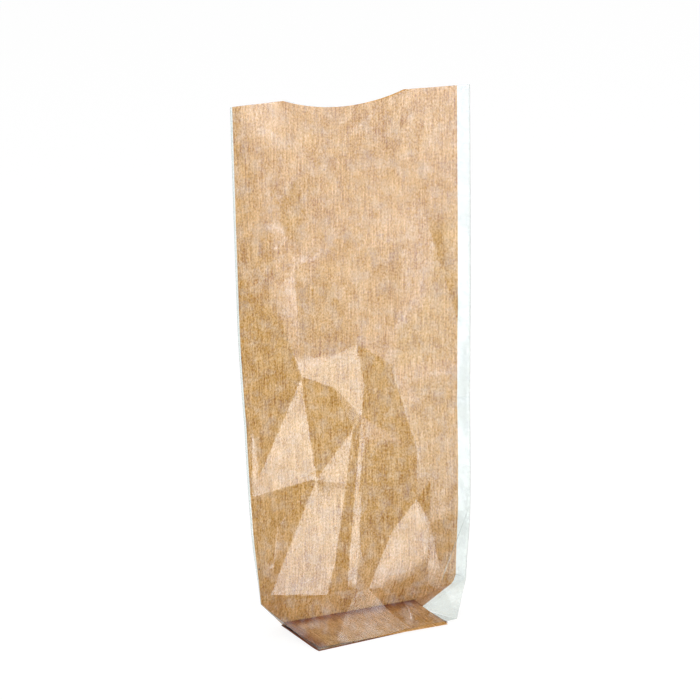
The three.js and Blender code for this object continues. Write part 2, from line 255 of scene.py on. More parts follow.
film = {
    "thickness": 0.06,
    "flapLength": 28.0,
    "flapTaper": 6.0,  # how much narrower each side of the flap ends
    "divisions": 20,  # of each crease
    "crispness": 1.6,  # draws the divisions towards the creases
    "bulge": 0.02,  # how far the middle of a facet stands out
    "bulgeSize": 1000.0,  # mm2: twice the area of a facet that bulges so far
    "fullBulgeWidth": 14.0,  # narrower facets stay flatter
    "calmFrom": 151.0,  # the creases fade out from here
    "calmTo": 235.0,  # to here
    "calmRows": 34,
    "mouthRise": 0.17,  # times the mouth's opening: the film's edge stands above the kraft's
    "foldFade": 4.0,  # the creases fade out so near to a side fold
    "foldDivisions": 9,  # round the half circle of a side fold
    "foldOpening": 30.0,  # above the side tip, where the half circle opens out
    # slow waves: radians per mm across and up, phase, relative height
    "ripples": [[0.11, 0.035, 0.4, 1.0], [-0.07, 0.06, 2.1, 0.8],
                [0.19, -0.05, 4.0, 0.45], [0.03, 0.13, 1.2, 0.4]],
    "rippleHeight": 0.03,
    "rippleFade": [14.0, 30.0],  # from the side folds, and above the side tips
    # across, up, half width, half height, forward
    "dents": [[36, 220, 14, 20, 1.5], [18, 202, 10, 8, 0.8]],
    # beside the left side's lower fold, standing outward; "fade" is their width at the other folds
    "pleats": {"height": 0.4, "spacing": 2.6, "spread": 3.5, "fade": 3.0, "way": [-0.68, -0.65, 0.34]},
    # creases: across, up, forward of the smooth bag
    "crease": {
        "calmA": [0, 235, 0], "calmB": [26.9, 235, 0], "calmC": [57.4, 235, 0], "calmD": [87.9, 235, 0],
        "calmE": [120, 235, 0],
        "foldHighLeft": [0, 137, 0], "foldMidLeft": [0, 79, 0], "tipLeft": [0, 23, 0],
        "foldHighRight": [120, 138, 0], "foldMidRight": [120, 60, 0], "tipRight": [120, 23, 0],
        "peak": [29, 137, 1.1], "ridgeTop": [57, 151, 5.2], "shoulder": [75, 138, 5.2],
        "scoop": [45, 130, 0.4], "dentSide": [60, 130, 2.4], "dentFoot": [58, 114, 0.1],
        "panelFoot": [35, 83, -3.1], "gullyHigh": [12, 115, -1.4], "gullyLow": [13, 62, 0.7],
        "gullyTop": [38, 108, 3.4], "gullyBand": [50, 72, 0.3],
        "bandTop": [53, 109, 2.6], "bandRight": [49, 80, 0.1], "bandLow": [42, 40, -1.1],
        "bandFootRight": [37, 23, -1.6], "bandFootLeft": [5, 29, 3.3],
        "stripFootLeft": [47, 23, -1.2], "stripRight": [59, 100, 0.85], "stripFootRight": [51.6, 23, 0.4],
        "gullyStrip": [54.5, 50, 0.4], "gullyFin": [61, 58, -0.2], "gullyField": [73, 74, 0.7],
        "rimTop": [58.2, 148.6, 4.8], "rimShoulder": [74.2, 136.6, 4.55], "rimFlank": [86, 93.5, 3.3],
        "flankHigh": [87, 93, 3.7], "flankLow": [93, 76, 1.6], "rightField": [104, 100, 1.5],
        "finTop": [85, 68, 2.5], "finLeft": [71, 50, -1.3], "finFootLeft": [59, 23, -3],
        "finRight": [91, 55, 4.7], "finFootRight": [88, 23, 3.5],
        "kneeLeft": [23, 23, 0], "kneeRight": [97, 23, 0],
        "sparkLeft": [98.5, 26, -1.0], "sparkRight": [116, 26, -1.0],
        # below the knee crease
        "wedgeLeft": [32.8, 13.5, 0], "wedgeRight": [43.3, 14.6, 0.6], "wedgeFoot": [33.6, 2.4, -0.4],
        "lensTop": [75.8, 21.5, 0], "lensShoulder": [70.7, 19, -0.4], "lensLeft": [65.6, 9.5, -0.7],
        "lensFoot": [72, 1, 0], "lensRightLow": [73.6, 4.3, 0.5], "lensRightHigh": [74.6, 12.8, 0.7],
        "beakFoot": [75.6, 7.1, 0.3], "beakRight": [81.3, 1.5, 0],
        "footLeft": [23, 0, 0], "footNear": [40, 0, 0], "footMiddle": [60, 0, 0], "footFar": [76, 0, 0],
        "footRight": [97, 0, 0], "sideLeft": [0, 0, 0], "sideRight": [120, 0, 0],
    },
    "facets": [
        "calmA peak foldHighLeft", "calmA calmB peak", "calmB ridgeTop peak", "calmB calmC ridgeTop",
        "calmC shoulder ridgeTop", "calmC calmD shoulder", "calmD foldHighRight shoulder",
        "calmD calmE foldHighRight", "foldHighLeft peak gullyHigh", "peak foldMidLeft gullyHigh",
        "foldMidLeft foldHighLeft gullyHigh", "peak panelFoot foldMidLeft",
        "peak ridgeTop scoop", "ridgeTop dentSide scoop", "scoop dentSide dentFoot",
        "ridgeTop shoulder rimShoulder", "ridgeTop rimShoulder rimTop", "rimTop rimShoulder dentSide",
        "ridgeTop rimTop dentSide", "peak scoop bandTop", "scoop dentFoot bandTop",
        "peak bandTop gullyTop", "bandTop panelFoot gullyTop", "panelFoot peak gullyTop",
        "foldMidLeft panelFoot gullyLow", "panelFoot bandFootLeft gullyLow",
        "bandFootLeft foldMidLeft gullyLow", "foldMidLeft bandFootLeft tipLeft",
        "tipLeft bandFootLeft kneeLeft", "bandFootLeft bandFootRight kneeLeft",
        "bandTop bandRight panelFoot", "panelFoot bandRight bandLow", "panelFoot bandLow bandFootLeft",
        "bandFootLeft bandLow bandFootRight", "bandTop dentFoot bandRight",
        "dentFoot stripFootLeft gullyBand", "stripFootLeft bandRight gullyBand",
        "bandRight dentFoot gullyBand", "bandRight stripFootLeft bandLow",
        "bandLow stripFootLeft bandFootRight", "dentFoot stripRight stripFootLeft",
        "stripRight stripFootRight stripFootLeft", "dentSide rimShoulder rimFlank",
        "shoulder flankHigh rimFlank", "shoulder rimFlank rimShoulder",
        "dentSide rimFlank dentFoot", "dentFoot rimFlank stripRight", "rimFlank finTop stripRight",
        "rimFlank flankHigh finTop",
        "finTop finLeft gullyField", "finLeft stripRight gullyField", "stripRight finTop gullyField",
        "finLeft finFootLeft gullyFin", "finFootLeft stripRight gullyFin", "stripRight finLeft gullyFin",
        "stripRight finFootLeft gullyStrip", "finFootLeft stripFootRight gullyStrip",
        "stripFootRight stripRight gullyStrip", "shoulder rightField flankHigh",
        "shoulder foldHighRight rightField", "flankHigh rightField flankLow",
        "rightField foldHighRight foldMidRight", "rightField foldMidRight flankLow",
        "flankHigh flankLow finTop", "flankLow finRight finTop", "flankLow foldMidRight finRight",
        "finTop finRight finLeft", "finLeft finFootRight finFootLeft", "finLeft finRight finFootRight",
        "finRight foldMidRight kneeRight", "finRight kneeRight finFootRight",
        "foldMidRight tipRight sparkRight", "foldMidRight sparkRight sparkLeft",
        "foldMidRight sparkLeft kneeRight", "kneeRight sparkLeft sparkRight", "kneeRight sparkRight tipRight",
        # below the knee crease
        "footLeft kneeLeft wedgeLeft", "kneeLeft bandFootRight wedgeLeft",
        "bandFootRight wedgeRight wedgeLeft", "bandFootRight stripFootLeft wedgeRight",
        "wedgeLeft wedgeRight wedgeFoot", "footLeft wedgeLeft wedgeFoot", "footLeft wedgeFoot footNear",
        "wedgeFoot wedgeRight footNear", "wedgeRight stripFootLeft stripFootRight",
        "wedgeRight stripFootRight finFootLeft", "wedgeRight finFootLeft lensLeft",
        "wedgeRight lensLeft footMiddle", "wedgeRight footMiddle footNear",
        "lensLeft lensFoot footMiddle", "finFootLeft lensShoulder lensLeft",
        "finFootLeft lensTop lensShoulder", "finFootLeft finFootRight lensTop",
        "lensTop lensRightHigh lensShoulder", "lensShoulder lensRightHigh lensLeft",
        "lensLeft lensRightHigh lensRightLow", "lensLeft lensRightLow lensFoot",
        "lensTop finFootRight beakFoot", "lensTop beakFoot lensRightHigh",
        "lensRightHigh beakFoot lensRightLow", "lensRightLow beakFoot beakRight",
        "lensRightLow beakRight lensFoot", "lensFoot beakRight footFar", "lensFoot footFar footMiddle",
        "beakRight footRight footFar", "finFootRight beakRight beakFoot", "finFootRight kneeRight beakRight",
        "kneeRight footRight beakRight",
        "footLeft kneeLeft tipLeft", "footLeft tipLeft sideLeft",
        "footRight tipRight kneeRight", "footRight sideRight tipRight",
    ],
}


# A sum of slow sine waves, which keeps a facet's reflection from being one flat tone
def ripples(across, up):
    return sum(size * np.sin(a * across + b * up + phase) for a, b, phase, size in film["ripples"])


# A sum of cones pushed forward: each falls evenly from its middle to nothing at the edge of an ellipse
def dents(across, up):
    return sum(forward * np.clip(1 - np.hypot((across - u) / wide, (up - t) / high), 0, 1)
               for u, t, wide, high, forward in film["dents"])


# A sine wave of the distance from the left side's lower fold, under a bell curve, fading to nothing at
# the other folds
def pleatHeight(across, up):
    pleats = film["pleats"]
    away = (across + up - tipUp) / math.sqrt(2)
    height = pleats["height"] * np.sin(2 * np.pi * away / pleats["spacing"])
    height *= np.exp(-(away / pleats["spread"]) ** 2)
    height *= ease(0, pleats["fade"], across) * ease(0, pleats["fade"], up) * (up < tipUp) * (across < tipUp)
    return height


# A triangle's lattice: the weights of its three corners, drawn towards the edges by a power, and the
# small triangles between them
def facetLattice():
    n = film["divisions"]
    i, j = [part.ravel() for part in np.meshgrid(np.arange(n + 1), np.arange(n + 1), indexing="ij")]
    i, j = i[i + j <= n], j[i + j <= n]
    weights = (np.stack([n - i - j, i, j], 1) / n) ** film["crispness"]
    weights /= weights.sum(1, keepdims=True)
    number = -np.ones((n + 1, n + 1), int)
    number[i, j] = np.arange(len(i))
    lowI, lowJ = i[i + j < n], j[i + j < n]
    upward = np.stack([number[lowI, lowJ], number[lowI + 1, lowJ], number[lowI, lowJ + 1]], 1)
    midI, midJ = i[i + j < n - 1], j[i + j < n - 1]
    downward = np.stack([number[midI + 1, midJ], number[midI + 1, midJ + 1], number[midI, midJ + 1]], 1)
    return weights, np.concatenate([upward, downward])


# Every facet is a triangle between three creases. The lattice's weights mix the corners' places, and
# their product, which is at most 1/27, swells the middle. Towards the mouth and the side folds the
# facets blend into the smooth bag, and the pleats are added at the left corner.
def crumpledPart():
    names = list(film["crease"])
    sheet = np.array([film["crease"][name][:2] for name in names], float)
    forward = np.array([film["crease"][name][2] for name in names], float)
    space = plyPoint(sheet[:, 0], sheet[:, 1], front)
    space[:, 1] -= forward
    corners = np.array([[names.index(name) for name in facet.split()] for facet in film["facets"]])
    turn = np.cross(sheet[corners[:, 1]] - sheet[corners[:, 0]], sheet[corners[:, 2]] - sheet[corners[:, 0]])
    corners = np.where((turn > 0)[:, None], corners, corners[:, ::-1])
    weights, lattice = facetLattice()
    sheetAt = np.einsum("vk,fkc->fvc", weights, sheet[corners]).reshape(-1, 2)
    flat = np.einsum("vk,fkc->fvc", weights, space[corners])
    edgeA, edgeB = space[corners[:, 1]] - space[corners[:, 0]], space[corners[:, 2]] - space[corners[:, 0]]
    normal = np.cross(edgeA, edgeB)
    size = np.linalg.norm(normal, axis=1, keepdims=True)
    longest = np.linalg.norm(np.stack([edgeA, edgeB, edgeB - edgeA]), axis=2).max(0)[:, None]
    slender = np.clip(size / longest / film["fullBulgeWidth"], 0, 1)
    share = (np.sqrt(size / film["bulgeSize"]) * slender)[:, None]
    swell = 27 * weights.prod(1)[None, :, None] * film["bulge"] * share
    flat = (flat + swell * (normal / size)[:, None]).reshape(-1, 3)
    across, up = sheetAt.T
    inward = np.minimum(across, bag["width"] - across)
    amount = (1 - ease(film["calmFrom"], film["calmTo"], up)) * ease(0, film["foldFade"], inward)
    amount = np.where(up < tipUp - tiny, 1, amount)[:, None]
    smooth = bodyPoint(across, np.maximum(up, tipUp), front)
    places = mix(smooth, flat, amount)
    places = places + pleatHeight(across, up)[:, None] * np.array(film["pleats"]["way"])
    offsets = np.arange(len(corners))[:, None, None] * len(weights)
    return places, sheetAt, (lattice[None] + offsets).reshape(-1, 3)


# The front: the crumpled part, and above it a grid on the smooth bag whose edge stands up in proportion
# to the mouth's opening. Ripples and dents push both forward.
def filmParts():
    places, sheetAt, triangles = crumpledPart()
    calmColumns = np.unique(np.round(sheetAt[np.abs(sheetAt[:, 1] - film["calmTo"]) < tiny, 0], 6))
    calmRows = np.linspace(film["calmTo"], bag["length"], film["calmRows"])
    across, up = np.meshgrid(calmColumns, calmRows)
    calm = plyPoint(across, up, front)
    gap = plyPoint(across, up, back)[..., 1] - calm[..., 1]
    calm[..., 2] += film["mouthRise"] * gap * ease(film["calmTo"], bag["length"], up)
    parts = [
        [places, sheetAt, triangles],
        [calm.reshape(-1, 3), np.stack([across, up], -1).reshape(-1, 2),
         gridTriangles(len(calmRows), len(calmColumns))],
    ]
    besideFold, aboveTip = film["rippleFade"]
    for part in parts:
        across, up = part[1].T
        inward = np.minimum(across, bag["width"] - across)
        rise = ease(0, besideFold, inward) * ease(tipUp, tipUp + aboveTip, up)
        part[0][:, 1] -= film["rippleHeight"] * rise * ripples(across, up) + dents(across, up)
    return parts


# Round a side fold: half circles above the tip that go flat towards it, then the lap on the kraft's back.
# The lap is half as wide as the side triangle, and its columns meet the crumpled part's below the tip.
def foldAndLap(atLeft, frontParts):
    edgeAt = 0 if atLeft else bag["width"]
    points = np.concatenate([part[0] for part in frontParts])
    sheetAt = np.concatenate([part[1] for part in frontParts])
    onEdge = np.abs(sheetAt[:, 0] - edgeAt) < tiny
    rows, firstOf = np.unique(np.round(sheetAt[onEdge, 1], 6), return_index=True)
    start = points[onEdge][firstOf]
    end = plyPoint(edgeAt, rows, back)
    angle = np.linspace(-np.pi / 2, np.pi / 2, film["foldDivisions"])
    k = (1 + np.sin(angle))[None, :, None] / 2
    radius = np.linalg.norm(end - start, axis=1) / 2 * ease(tipUp, tipUp + film["foldOpening"], rows)
    arc = mix(start[:, None], end[:, None], k)
    arc[..., 0] += radius[:, None] * np.cos(angle)[None] * (-1 if atLeft else 1)
    n, crisp = film["divisions"], film["crispness"]
    share = np.arange(n // 2 + 1) / n
    share = share ** crisp / (share ** crisp + (1 - share) ** crisp)
    lapAt = np.abs(edgeAt - share * tipUp)
    lap = plyPoint(lapAt[None], rows[:, None], back)
    grid = np.concatenate([arc, lap[:, 1:]], 1)
    columns = np.concatenate([np.full(len(angle), edgeAt), lapAt[1:]])
    at = np.stack(np.broadcast_arrays(columns[None], rows[:, None]), -1)
    triangles = gridTriangles(*grid.shape[:2])
    return [grid.reshape(-1, 3), at.reshape(-1, 2), triangles[:, ::-1] if atLeft else triangles]


# A bottom flap: straight lines run inward from points along the bottom's edge towards the edge across,
# flat under the bag, and they draw together evenly to the flap's end
def flapPart(columns, side, length, taper, rows=10):
    half = halfWidth - tipUp
    reach = np.linspace(0, length, rows)[:, None]
    narrowed = halfWidth + (columns[None] - halfWidth) * (1 - taper / half * reach / length)
    k = ((narrowed - tipUp) / (2 * half))[..., None]
    nearRight = onBase("flaredRight" if side == front else "frontRight")
    frontLine = mix(onBase("frontLeft"), nearRight, k)
    backLine = mix(onBase("backLeft"), onBase("backRight"), k)
    start, far = (frontLine, backLine) if side == front else (backLine, frontLine)
    way = (far - start) / np.linalg.norm(far - start, axis=-1, keepdims=True)
    places = start + way * reach[..., None]
    at = np.stack(np.broadcast_arrays(columns[None], -reach), -1)
    return [places.reshape(-1, 3), at.reshape(-1, 2), gridTriangles(rows, len(columns))[:, ::-1]]


def filmFront():  # the front, both side folds with their laps, and the flap, joined to one sheet
    parts = filmParts()
    folds = [foldAndLap(True, parts), foldAndLap(False, parts)]
    across, up = parts[0][1].T
    onFoot = (np.abs(up) < tiny) & (across > tipUp - tiny) & (across < bag["width"] - tipUp + tiny)
    footColumns = np.unique(np.round(across[onFoot], 6))
    parts += [*folds, flapPart(footColumns, front, film["flapLength"], film["flapTaper"])]
    points, sheetAt, triangles = weld(parts)
    return shellMesh("filmFront", points + bag["shift"], triangles, sheetAt, film["thickness"])


kraft = {
    "thickness": 0.14,
    "inset": [0.3, 5.3],  # its cut edges, in from the left and right folds
    "gap": 0.05,  # to the film round it
    "rowStep": 1.6,
    "sideDivisions": 12,  # across a side triangle, and up the skirt
    "middleDivisions": 45,
    "leastColumn": 1.0,  # no column is nearer than this to the right cut edge
    "flapLength": 44.0,  # reaches nearly to the front
    "flapTaper": 2.0,
}


# The back ply on a grid of columns and rows, cut off beside the side folds, and its flap. It stands
# inside the film's laps by both half thicknesses and a gap. Cells are split so that the side
# triangles' folds run along their edges.
def kraftBack():
    side = np.linspace(0, tipUp, kraft["sideDivisions"])
    left = np.maximum(side, kraft["inset"][0])
    rightEdge = bag["width"] - kraft["inset"][1]
    right = bag["width"] - side[::-1]
    right = np.append(right[right < rightEdge - kraft["leastColumn"]], rightEdge)
    notchEnds = [notch["middle"] - notch["width"] / 2, notch["middle"] + notch["width"] / 2]
    middle = np.linspace(tipUp, bag["width"] - tipUp, kraft["middleDivisions"])[1:-1]
    columns = np.unique(np.concatenate([left, middle, right, notchEnds]))
    high = np.linspace(tipUp, bag["length"], int((bag["length"] - tipUp) / kraft["rowStep"]))
    rows = np.concatenate([side, high[1:]])
    grid = plyPoint(columns[None], rows[:, None], back)
    at = np.stack(np.broadcast_arrays(columns[None], rows[:, None]), -1)
    onRight = columns[:-1] + columns[1:] >= bag["width"]
    slant = np.broadcast_to(onRight[None], (len(rows) - 1, len(columns) - 1))
    body = [grid.reshape(-1, 3), at.reshape(-1, 2), gridTriangles(len(rows), len(columns), slant)[:, ::-1]]
    inFlap = columns[(columns >= tipUp - tiny) & (columns <= bag["width"] - tipUp + tiny)]
    places, flapAt, triangles = flapPart(inFlap, back, kraft["flapLength"], kraft["flapTaper"])
    flap = [places, flapAt, triangles[:, ::-1]]
    points, sheetAt, triangles = weld([body, flap])
    offset = -(film["thickness"] / 2 + kraft["gap"] + kraft["thickness"] / 2)
    return shellMesh("kraftBack", points + bag["shift"], triangles, sheetAt, kraft["thickness"], offset)


patch = {
    "thickness": 0.3,  # stands for the pasted layers at the base's edge
    "sheet": [72.0, 46.0],  # across and deep, for the UV map
    "inset": 0.05,
    "frontLift": 0.22,  # its front edge stands a hair off the table
    "curl": 0.22,  # share of the depth that curls up at the front
    "lip": 4.5,  # turned up and pasted on to the left side
    "lipRows": 6,
    "lipFullness": 0.7,  # below 1 the lip's ends are blunter
    "lipGap": 0.35,  # outside the film
    "lipWay": [-0.6, -0.3, -0.5],
    "rows": 24,
    "columns": 40,
}


# Straight lines between the bottom's four corners; the front edge curls up as a parabola. The lip climbs
# from the left edge towards the left tip by a power of a sine, most in the middle, a little outside the film.
def bottomPatch():
    names = ("frontLeft", "frontRight", "backRight", "backLeft")
    outline = np.array([corner[name] for name in names], float)
    inward = outline.mean(0) - outline
    outline += inward / np.linalg.norm(inward, axis=1, keepdims=True) * patch["inset"] * math.sqrt(2)
    u = np.linspace(0, 1, patch["columns"])[None, :, None]
    v = np.linspace(0, 1, patch["rows"])[:, None, None]
    flat = mix(mix(outline[0], outline[1], u), mix(outline[3], outline[2], u), v)
    edge = np.clip(1 - v / patch["curl"], 0, 1) ** 2
    lift = np.broadcast_to(patch["thickness"] / 2 + patch["frontLift"] * edge, (*flat.shape[:2], 1))
    grid = np.concatenate([flat, lift], -1)
    tip = bodyPoint(0, tipUp, front)
    climb = np.linspace(1, 0, patch["lipRows"])[None, :-1, None]
    reach = climb * patch["lip"] * np.sin(np.pi * v) ** patch["lipFullness"]
    towards = tip - grid[:, :1]
    towards = towards / np.linalg.norm(towards, axis=-1, keepdims=True)
    lip = grid[:, :1] + towards * reach + np.array(patch["lipWay"]) * patch["lipGap"] * ease(0, 1, reach)
    grid = np.concatenate([lip, grid], 1)
    wide, deep = patch["sheet"]
    across = np.concatenate([-reach[..., 0], np.broadcast_to(u[..., 0] * wide, flat.shape[:2])], 1)
    at = np.stack(np.broadcast_arrays(across, v[..., 0] * deep), -1)
    triangles = gridTriangles(*grid.shape[:2])
    return shellMesh("bottomPatch", grid.reshape(-1, 3) + bag["shift"], triangles,
                     at.reshape(-1, 2), patch["thickness"])


def linearColour(hexText):  # sRGB hex to linear, with alpha 1
    value = np.array([int(hexText[i:i + 2], 16) for i in (0, 2, 4)]) / 255
    value = np.where(value <= 0.04045, value / 12.92, ((value + 0.055) / 1.055) ** 2.4)
    return (*value.tolist(), 1.0)


def addNode(tree, kind, settings=None, inputs=None):  # its inputs are values or other nodes' sockets
    node = tree.nodes.new(kind)
    for key, value in (settings or {}).items():
        setattr(node, key, value)
    for key, value in (inputs or {}).items():
        if isinstance(value, bpy.types.NodeSocket):
            tree.links.new(value, node.inputs[key])
        else:
            node.inputs[key].default_value = value
    return node


def maths(tree, operation, *values, clamp=False):  # the result of a maths node on values or sockets
    settings = {"operation": operation, "use_clamp": clamp}
    return addNode(tree, "ShaderNodeMath", settings, dict(enumerate(values))).outputs[0]


def smoothStep(tree, value, start, end):  # 0 at the start, 1 at the end
    node = addNode(tree, "ShaderNodeMapRange", {"interpolation_type": "SMOOTHSTEP"},
                   {"Value": value, "From Min": start, "From Max": end})
    return node.outputs[0]


def newMaterial(name):
    material = bpy.data.materials.new(name)
    material.use_nodes = True
    material.node_tree.nodes.clear()
    return material, material.node_tree


def showSurface(tree, shader):
    addNode(tree, "ShaderNodeOutputMaterial", None, {"Surface": shader.outputs[0]})


boppFilm = {
    "tint": "F9FBFA",  # light lost on the way through
    "reflectance": 0.04,  # of each face, at right angles
    "roughness": 0.03,
    "haze": 0.012,  # mean share of light that each face scatters
    "hazeTint": "E8F2FF",
    "hazePatches": [[2.5, 0.06], [7.0, 0.15]],  # size (mm) and how much the haze varies
}


# Clear biaxially stretched polypropylene: stretched and cast smooth, so it mirrors what it faces,
# faintly straight on and strongly at a glance, and lets nearly all other light through. The mirrored share
# is the reflectance, and of the rest, one less the cosine of the angle to the fifth power. The haze is its
# mean plus noise about its middle, never below nothing.
def filmMaterial():
    material, tree = newMaterial("clearBoppFilm")
    clear = addNode(tree, "ShaderNodeBsdfTransparent", None, {"Color": linearColour(boppFilm["tint"])})
    gloss = addNode(tree, "ShaderNodeBsdfGlossy", None, {"Roughness": boppFilm["roughness"]})
    facing = addNode(tree, "ShaderNodeLayerWeight", None, {"Blend": 0.5})
    power = maths(tree, "POWER", facing.outputs["Facing"], 5.0)
    share = maths(tree, "MULTIPLY_ADD", power, 1 - boppFilm["reflectance"], boppFilm["reflectance"])
    both = addNode(tree, "ShaderNodeMixShader", None, {0: share, 1: clear.outputs[0], 2: gloss.outputs[0]})
    sheet = addNode(tree, "ShaderNodeUVMap", {"uv_map": "sheet"})
    haze = boppFilm["haze"] - sum(spread for _, spread in boppFilm["hazePatches"]) / 2
    for size, spread in boppFilm["hazePatches"]:
        patches = addNode(tree, "ShaderNodeTexNoise", {"noise_dimensions": "2D"},
                          {"Vector": sheet.outputs[0], "Scale": 1 / (size * mm), "Detail": 1.0})
        haze = maths(tree, "MULTIPLY_ADD", patches.outputs["Fac"], spread, haze)
    haze.node.use_clamp = True
    scatter = addNode(tree, "ShaderNodeBsdfDiffuse", None, {"Color": linearColour(boppFilm["hazeTint"])})
    hazy = addNode(tree, "ShaderNodeMixShader", None, {0: haze, 1: both.outputs[0], 2: scatter.outputs[0]})
    showSurface(tree, hazy)
    return material


kraftPaper = {
    "pale": "EFC08C",
    "plain": "CB9B5A",
    "dark": "9E6417",
    # patterns: size across and up the sheet (mm), detail, where the noise starts, and weight
    "patterns": {
        "ribs": [0.95, 14.0, 1.0, 3.1, 0.95],
        "mottle": [6.0, 7.2, 2.0, 7.7, 0.6],
        "clouds": [26.0, 39.0, 2.0, 1.9, 0.45],
        "grain": [0.75, 1.125, 1.0, 11.3, 1.2],  # a little coarser than real fibres, so that it shows
        "fibres": [1.1, 1.43, 1.0, 5.9, 0.30],  # bleached fibres lighten it without colour
    },
    "noiseRoughness": 0.55,
    "roughness": 0.72,
    "ior": 1.45,
    "reliefDepth": 0.0001,  # m, of the ribs
    "reliefStrength": 0.35,
    "grainInRelief": 0.5,  # times the ribs' relief
    "paintedShadeTint": "B98A3C",  # painted shade: multiplies the paper's colour in the crease along the bottom's back edge and beside its left edge
    "pasteReach": [13.0, 9.0],  # mm, from the bottom's back edge and from its left edge
    "paintedShadeEnd": 1.0,  # mm, above the bottom's edge
    # dark bits of bark in the paper: across, up and radius on the unrolled sheet (mm)
    "barkBits": [[1.5, 40.7, 0.75], [47.2, 238.6, 0.5], [26.5, 152.6, 0.4],
                 [2.8, 168.3, 0.3], [85.3, 25.5, 0.5]],
    "barkCore": 0.4,  # of the radius, fully dark
    "barkColour": "5A3C1C",
}


# Ribbed machine-glazed kraft paper: pressed between ribbed rollers, so fine stripes run up the sheet.
# Uneven fibre makes cloudy patches and a speckled grain, and the face is dull with a faint sheen. The tone is
# the middle one plus each pattern about its middle times its weight. Painted shade darkens and reddens it in
# the crease along the bottom's back edge and beside its left edge: a smooth step of the distance from those
# edges. Bark bits are round spots.
def kraftMaterial():
    material, tree = newMaterial("ribbedKraftPaper")
    sheet = addNode(tree, "ShaderNodeUVMap", {"uv_map": "sheet"}).outputs[0]
    noise, weighed = {}, {}
    for name, (wide, high, detail, start, weight) in kraftPaper["patterns"].items():
        place = addNode(tree, "ShaderNodeMapping", None, {
            "Vector": sheet, "Location": (start, start, 0), "Scale": (1 / (wide * mm), 1 / (high * mm), 1)})
        texture = addNode(tree, "ShaderNodeTexNoise", {"noise_dimensions": "2D"}, {
            "Vector": place.outputs[0], "Scale": 1.0, "Detail": detail,
            "Roughness": kraftPaper["noiseRoughness"]})
        noise[name] = texture.outputs["Fac"]
        weighed[name] = maths(tree, "MULTIPLY_ADD", noise[name], weight, -weight / 2)
    tone = 0.5
    for name in ("ribs", "mottle", "clouds", "grain"):
        tone = maths(tree, "ADD", tone, weighed[name], clamp=True)
    ramp = addNode(tree, "ShaderNodeValToRGB", None, {"Fac": tone})
    stops = ramp.color_ramp.elements
    stops[0].position, stops[0].color = 0.0, linearColour(kraftPaper["dark"])
    stops[1].position, stops[1].color = 1.0, linearColour(kraftPaper["pale"])
    middle = stops.new(0.5)
    middle.color = linearColour(kraftPaper["plain"])
    fibrous = addNode(tree, "ShaderNodeVectorMath", {"operation": "ADD"},
                      {0: ramp.outputs["Color"], 1: weighed["fibres"]})
    across, up, _ = addNode(tree, "ShaderNodeSeparateXYZ", None, {0: sheet}).outputs
    backReach, leftReach = kraftPaper["pasteReach"]
    fromBack = smoothStep(tree, up, -backReach * mm, 0)
    fromLeft = smoothStep(tree, across, (tipUp + leftReach) * mm, tipUp * mm)
    below = smoothStep(tree, up, kraftPaper["paintedShadeEnd"] * mm, 0)
    # painted shade on the flap, in the crease by the bottom's back edge and beside its left edge
    paintedEdgeShade = maths(tree, "MULTIPLY", maths(tree, "MAXIMUM", fromBack, fromLeft), below)
    shadedPaper = addNode(tree, "ShaderNodeMix", {"data_type": "RGBA", "blend_type": "MULTIPLY"}, {
        "Factor": paintedEdgeShade, "A": fibrous.outputs[0], "B": linearColour(kraftPaper["paintedShadeTint"])})
    colour = shadedPaper.outputs["Result"]
    for bitAcross, bitUp, radius in kraftPaper["barkBits"]:
        away = addNode(tree, "ShaderNodeVectorMath", {"operation": "DISTANCE"},
                       {0: sheet, 1: (bitAcross * mm, bitUp * mm, 0)})
        inside = smoothStep(tree, away.outputs["Value"], radius * mm, kraftPaper["barkCore"] * radius * mm)
        spotted = addNode(tree, "ShaderNodeMix", {"data_type": "RGBA"},
                          {"Factor": inside, "A": colour, "B": linearColour(kraftPaper["barkColour"])})
        colour = spotted.outputs["Result"]
    height = maths(tree, "MULTIPLY_ADD", noise["grain"], kraftPaper["grainInRelief"], noise["ribs"])
    bump = addNode(tree, "ShaderNodeBump", None, {
        "Height": height, "Strength": kraftPaper["reliefStrength"], "Distance": kraftPaper["reliefDepth"]})
    paper = addNode(tree, "ShaderNodeBsdfPrincipled", None, {
        "Base Color": colour, "Roughness": kraftPaper["roughness"], "IOR": kraftPaper["ior"],
        "Normal": bump.outputs[0]})
    showSurface(tree, paper)
    return material


pastedPaper = {
    "plain": "A87A3E",
    "rim": "74380F",  # painted shade along its edges, under the lifted front edge and on the downward-facing left lip
    "shadeWidth": [1.2, 3.0],  # mm, at the front and at the left
    "shadeCore": 0.5,  # of the width, fully dark
    "roughness": 0.6,
}


# Kraft paper pasted under the bottom: brown, with painted shade in dark red-brown along its front and left
# edges, by the larger of two smooth steps of the distances from them
def pastedMaterial():
    material, tree = newMaterial("pastedKraftPaper")
    sheet = addNode(tree, "ShaderNodeUVMap", {"uv_map": "sheet"})
    across, deep, _ = addNode(tree, "ShaderNodeSeparateXYZ", None, {0: sheet.outputs[0]}).outputs
    # painted shade along the front and left edges
    shadedEdges = [smoothStep(tree, distance, width * mm, pastedPaper["shadeCore"] * width * mm)
            for distance, width in zip((deep, across), pastedPaper["shadeWidth"])]
    colour = addNode(tree, "ShaderNodeMix", {"data_type": "RGBA"}, {
        "Factor": maths(tree, "MAXIMUM", *shadedEdges),
        "A": linearColour(pastedPaper["plain"]), "B": linearColour(pastedPaper["rim"])})
    paper = addNode(tree, "ShaderNodeBsdfPrincipled", None,
                    {"Base Color": colour.outputs["Result"], "Roughness": pastedPaper["roughness"]})
    showSurface(tree, paper)
    return material


filmPiece = filmFront()
filmPiece.data.materials.append(filmMaterial())
kraftPiece = kraftBack()
kraftPiece.data.materials.append(kraftMaterial())
patchPiece = bottomPatch()
patchPiece.data.materials.append(pastedMaterial())
for piece, node, slot in ((filmPiece, "film_front", "clear_film"), (kraftPiece, "kraft_back", "kraft_paper"),
                          (patchPiece, "bottom_patch", "kraft_patch")):
    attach(piece, "root")
    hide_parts(node)
print("bag made")

